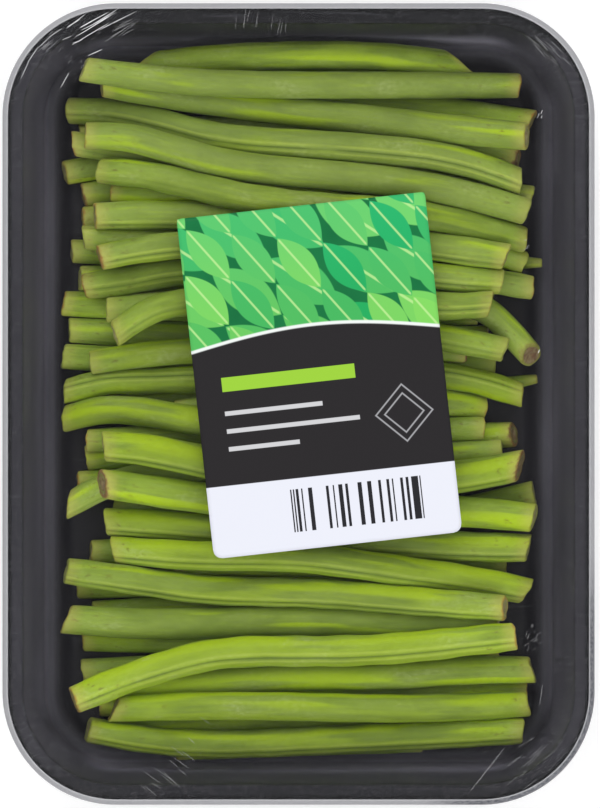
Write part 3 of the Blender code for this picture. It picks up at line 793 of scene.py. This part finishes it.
def make_film():
    """The film: flat over the tray, rounded over its rim, and gathered down the sides and under the base."""
    low, high = (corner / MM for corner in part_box("film"))
    half = np.array([high.x, high.y])
    top = high.z
    profile = rounded_profile([
        (44.0, top, 0.0), (30.0, top, 0.0), (18.0, top, 0.0), (9.0, top, 0.0), (4.5, top, 0.0), (1.6, top - 0.05, 0.8),
        (0.3, top - 0.5, 0.6), (0.0, top - 1.8, 0.8), (0.15, top - 3.3, 0.6), (0.7, top - 5.4, 0.0),
        (5.7, 1.5, 1.0), (7.2, 0.0, 0.8),
        (15.7, 0.0, 0.0),
    ], 4)
    side_steps = (40, 56)
    rings = []
    for inset, z in profile:
        outline = rounded_outline(half - inset, max(FILM_CORNER - inset, 3.0), CORNER_STEPS * 2, side_steps)
        rings.append(np.column_stack([outline, np.full(len(outline), z)]))
    count = len(rings[0])
    place = np.arange(count)
    corner_points = CORNER_STEPS * 2 + 1
    period = [corner_points + side_steps[0] - 1, corner_points + side_steps[1] - 1]
    starts = np.cumsum([0, period[0], period[1], period[0]])
    near = np.zeros(count)
    for start in starts:
        middle = start + corner_points / 2
        away = np.abs((place - middle + count / 2) % count - count / 2)
        near = np.maximum(near, np.exp(-(away / (corner_points * 0.55)) ** 2))
    draw = random.Random(SEED + 1)
    phase = [draw.uniform(0, math.tau) for _ in range(3)]
    wave = sum(np.sin(place / count * math.tau * n + p) for n, p in zip((61, 97, 143), phase)) / 3
    gather = []
    for ring, (inset, z) in zip(rings, profile):
        outward = ring[:, :2] - ring[:, :2] * 0.985
        outward /= np.linalg.norm(outward, axis=1)[:, None]
        down = np.clip((top - z) / 24.0, 0.0, 1.0)
        under = z < 1.0 and inset > 6.0
        depth = (0.10 + 0.45 * near) * wave * down ** 0.7
        if under:
            ring[:, 2] += np.abs(wave) * (0.12 + 0.35 * near)
        elif z < top - 2.5:
            ring[:, :2] -= outward * (np.abs(depth) * 0.8)[:, None]
        past_rim = np.clip((top - z - 0.2) / 0.7, 0.0, 1.0)
        on_band = np.clip((1.35 - inset) / 0.3, 0.0, 1.0) * np.clip((z - top + 4.6) / 2.2, 0.0, 1.0) * np.ones(count)
        by_rim = np.clip(1.0 - inset / 16.0, 0.0, 1.0) * (0.35 + 0.65 * near)
        pleat = (0.5 + 0.5 * wave) * (0.3 + 0.7 * near) * past_rim
        gather.append(np.column_stack([on_band, pleat, by_rim]))
    shape = skin(rings, True)
    mesh_values = np.vstack([*gather, np.zeros((1, 3))])
    layer = shape.verts.layers.float_vector.new("gather")
    shape.verts.ensure_lookup_table()
    for vertex, value in zip(shape.verts, mesh_values):
        vertex[layer] = value
    mesh = solid(shape, "stretch_film_wrap", FILM_WALL)
    adopt(new_piece("stretch_film_wrap", mesh, film_material()), "stretch_film", "film")
    return top


# Creases in the film, painted white as glints: centre, way they run in degrees, spread across and along, how many,
# lengths and strength of the painted glint
CREASES = [
    ((-49.9, 85.8), 33.7, (0.0, 0.0), 1, (5.4, 5.4), 0.80),
    ((-45.7, 86.2), 28.9, (0.0, 0.0), 1, (7.7, 7.7), 1.00),
    ((-47.6, 85.1), 29.5, (0.1, 0.3), 1, (3.6, 3.6), 1.30),
    ((-45.9, 84.8), 30.0, (0.0, 0.0), 1, (9.8, 9.8), 1.30),
    ((-45.4, 85.5), 30.0, (0.1, 0.0), 1, (7.8, 7.8), 0.90),
    ((-43.6, 86.5), 30.0, (0.2, 0.5), 2, (5.0, 7.0), 0.45),
    ((-50.4, 85.4), 32.0, (0.0, 0.0), 1, (3.4, 3.4), 1.00),
    ((-43.4, 86.8), 30.5, (0.0, 0.0), 1, (7.6, 7.6), 0.70),
    ((-42.7, 85.3), 27.8, (0.0, 0.0), 1, (18.0, 18.0), 0.60),
    ((-46.6, 83.0), 29.7, (0.0, 0.0), 1, (9.9, 9.9), 0.80),
    ((-49.6, 81.3), 24.0, (0.3, 0.4), 2, (2.0, 3.2), 0.60),
    ((-40.5, 86.0), 28.0, (0.2, 0.4), 2, (9.0, 12.0), 0.42),
    ((-51.6, 82.1), 22.0, (0.2, 0.3), 1, (2.4, 2.4), 0.45),
    ((-45.6, 78.8), 27.0, (0.0, 0.0), 1, (3.7, 3.7), 0.90),
    ((-52.4, 72.6), 56.0, (0.0, 0.0), 1, (4.1, 4.1), 1.00),
    ((-61.4, 74.9), 67.0, (0.1, 0.2), 1, (4.6, 4.6), 0.60),
    ((-59.5, 78.3), 54.0, (0.1, 0.2), 1, (4.6, 4.6), 0.60),
    ((-57.0, 81.1), 42.0, (0.1, 0.2), 1, (4.4, 4.4), 0.55),
    ((-54.4, 83.3), 36.0, (0.1, 0.2), 1, (3.6, 3.6), 0.50),
    ((-56.0, 80.6), 41.0, (1.50, 3.5), 7, (1.5, 5.0), 0.12),
    ((-38.0, 85.0), 33.0, (2.40, 6.0), 8, (3.0, 8.0), 0.14),
    ((-52.0, 78.0), 60.0, (6.00, 4.0), 12, (0.4, 1.4), 0.09),
    ((-10.0, 86.0), 82.0, (18.0, 1.5), 14, (2.0, 5.0), 0.10),
    ((42.1, -82.3), 50.0, (0.00, 0.0), 1, (14.0, 14.0), 0.20),
    ((54.4, -65.2), 79.0, (0.00, 0.0), 1, (4.6, 4.6), 0.16),
    ((52.0, -80.0), 38.0, (3.6, 6.0), 14, (1.5, 5.0), 0.08),
    ((56.0, 79.0), -44.0, (2.2, 5.0), 12, (1.5, 5.0), 0.14),
    ((-30.0, -84.0), -38.0, (12.0, 3.0), 18, (2.0, 6.0), 0.12),
    ((54.2, 64.5), 70.0, (0.6, 1.0), 3, (0.6, 1.6), 0.45),
    ((51.2, 35.5), 20.0, (1.2, 1.2), 4, (0.5, 1.2), 0.25),
    # A painted glint on the cut face of bean 31
    ((53.9, 11.8), 60.0, (0.0, 0.0), 1, (1.0, 1.0), 1.40),
    ((51.5, -52.0), 75.0, (2.8, 3.0), 8, (0.5, 1.8), 0.10),
    ((52.5, -53.5), 30.0, (3.0, 2.8), 7, (0.5, 1.6), 0.10),
]
CREASE_HEIGHT = 0.06
CREASE_WIDTH = 0.15


def crease_group():
    """Sets a slim pointed ridge on each point of a cloud, turned and stretched as the point says."""
    tree, b, given, end = new_group("film_ridges", {"Material": "Material", "Width": "Float", "Height": "Float"})
    ridge = b.out("GeometryNodeMeshUVSphere", None, {"Segments": 14, "Rings": 8, "Radius": 0.5})
    turn = b.out("GeometryNodeInputNamedAttribute", {"data_type": "FLOAT"}, {"Name": "turn"})
    length = b.out("GeometryNodeInputNamedAttribute", {"data_type": "FLOAT"}, {"Name": "length"})
    end(b.out("GeometryNodeInstanceOnPoints", None, {
        "Points": given["Geometry"],
        "Instance": ridge,
        "Rotation": b.join(0.0, 0.0, turn),
        "Scale": b.join(length, given["Width"], given["Height"]),
    }))
    return tree


def on_film(point, half):
    """Whether a point lies on the film's flat top, inside its turned edge."""
    past = [max(abs(axis) - reach + FILM_CORNER, 0.0) for axis, reach in zip(point, half)]
    return math.hypot(*past) < FILM_CORNER - 1.2


def make_creases(top):
    draw = random.Random(SEED + 2)
    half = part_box("film")[1] / MM
    points, turns, lengths, shines = [], [], [], []
    for centre, way, spread, count, sizes, shine in CREASES:
        angle = math.radians(way)
        along = Vector((math.cos(angle), math.sin(angle)))
        across = Vector((-along.y, along.x))
        for _ in range(count):
            place = Vector(centre) + along * draw.gauss(0, spread[1] / 2) + across * draw.gauss(0, spread[0] / 2)
            turn, length, clear = angle + draw.gauss(0, 0.05), draw.uniform(*sizes), shine * draw.uniform(0.7, 1.0)
            if on_film(place + along * length / 2, half.xy) and on_film(place - along * length / 2, half.xy):
                points.append(Vector((place.x, place.y, top + 0.02)) * MM)
                turns.append(turn)
                lengths.append(length * MM)
                shines.append((clear, 0.0, 0.0))
    mesh = bpy.data.meshes.new("ridge_places")
    mesh.from_pydata(points, [], [])
    mesh.attributes.new("turn", "FLOAT", "POINT").data.foreach_set("value", turns)
    mesh.attributes.new("length", "FLOAT", "POINT").data.foreach_set("value", lengths)
    mesh.attributes.new("shine", "FLOAT_VECTOR", "POINT").data.foreach_set("vector", np.ravel(shines))
    carrier = bpy.data.objects.new("ridge_places", mesh)
    bpy.context.scene.collection.objects.link(carrier)
    finish = crease_painted_glint_material()
    made = run_group(carrier, crease_group(), {
        "Material": finish, "Width": CREASE_WIDTH * MM, "Height": CREASE_HEIGHT * MM,
    })
    adopt(new_piece("film_creases", made, finish), "stretch_film")


def make_label():
    """The label: a thin sheet with round corners that lies on the film with a slight wave."""
    low, high = (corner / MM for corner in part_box("label"))
    centre = (low + high) / 2
    half = np.array(LABEL_SIZE) / 2
    columns, rows = 57, 77
    shape = bmesh.new()
    uv = shape.loops.layers.uv.new("sheet")
    places = {}
    for i in range(columns):
        for j in range(rows):
            x = (i / (columns - 1) * 2 - 1) * half[0]
            y = (j / (rows - 1) * 2 - 1) * half[1]
            corner = LABEL_CORNERS[0] if y > 0 else LABEL_CORNERS[1]
            over = np.maximum(np.abs((x, y)) - (half - corner), 0.0)
            if min(over) > 0.0:
                pull = max(over) / float(np.hypot(*over))
                x -= math.copysign(over[0] * (1 - pull), x)
                y -= math.copysign(over[1] * (1 - pull), y)
            wave = 0.05 * math.sin(y * 0.55) + 0.03 * math.sin(x * 0.21 + 1.0)
            turned = (
                centre.x + x * math.cos(LABEL_TURN) - y * math.sin(LABEL_TURN),
                centre.y + x * math.sin(LABEL_TURN) + y * math.cos(LABEL_TURN),
                high.z + wave,
            )
            vertex = shape.verts.new(Vector(turned) * MM)
            places[vertex] = (x / LABEL_SIZE[0] + 0.5, y / LABEL_SIZE[1] + 0.5)
            places[i, j] = vertex
    for i in range(columns - 1):
        for j in range(rows - 1):
            face = shape.faces.new((places[i, j], places[i + 1, j], places[i + 1, j + 1], places[i, j + 1]))
            face.smooth = True
            for loop in face.loops:
                loop[uv].uv = places[loop.vert]
    mesh = solid(shape, "paper_label", LABEL_THICK)
    adopt(new_piece("paper_label", mesh, label_material()), "label_paper", "label")


def make_stage():
    """A plain pale floor, soft light from above and a pale surrounding."""
    mesh = bpy.data.meshes.new("floor")
    reach = 3.0
    mesh.from_pydata([(-reach, -reach, 0), (reach, -reach, 0), (reach, reach, 0), (-reach, reach, 0)], [], [(0, 1, 2, 3)])
    floor = bpy.data.objects.new("floor", mesh)
    bpy.context.scene.collection.objects.link(floor)
    made, b = new_material("pale_floor")
    speckle = b.noise(object_place(b), 0.01, 2.0)
    finish_material(b, {
        "Base Color": b.mix(speckle, (0.86, 0.86, 0.86), (0.88, 0.88, 0.88)),
        "Roughness": 0.8,
        "Emission Color": (1.0, 1.0, 1.0),
        "Emission Strength": 0.34,
    })
    mesh.materials.append(made)

    world = bpy.data.worlds.new("studio")
    world.use_nodes = True
    world.node_tree.nodes["Background"].inputs["Color"].default_value = (1.0, 1.0, 1.0, 1.0)
    world.node_tree.nodes["Background"].inputs["Strength"].default_value = 0.83
    bpy.context.scene.world = world
    for name, place, size, energy in (
        ("back_light", (-0.25, 0.75, 0.75), 0.60, 2.5),
        ("front_light", (0.30, -0.75, 0.75), 0.60, 2.3),
    ):
        light = bpy.data.lights.new(name, "AREA")
        light.shape = "SQUARE"
        light.size = size
        light.energy = energy
        lamp = bpy.data.objects.new(name, light)
        lamp.location = place
        lamp.rotation_euler = (-Vector(place)).to_track_quat("-Z", "Y").to_euler()
        lamp.visible_camera = False
        bpy.context.scene.collection.objects.link(lamp)


def make_camera(rim):
    data = bpy.data.cameras.new("camera")
    data.sensor_width = SENSOR
    data.lens = SENSOR * CAMERA_HEIGHT / VIEW_LENGTH
    data.clip_start = 0.05
    data.clip_end = 20.0
    camera = bpy.data.objects.new("camera", data)
    camera.location = (VIEW_CENTRE[0] * MM, VIEW_CENTRE[1] * MM, (rim + CAMERA_HEIGHT) * MM)
    bpy.context.scene.collection.objects.link(camera)
    bpy.context.scene.camera = camera
    bpy.context.scene.view_settings.view_transform = "Standard"


make_camera(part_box("tray")[1].z / MM)
make_stage()
make_tray()
make_beans()
make_creases(make_film())
make_label()
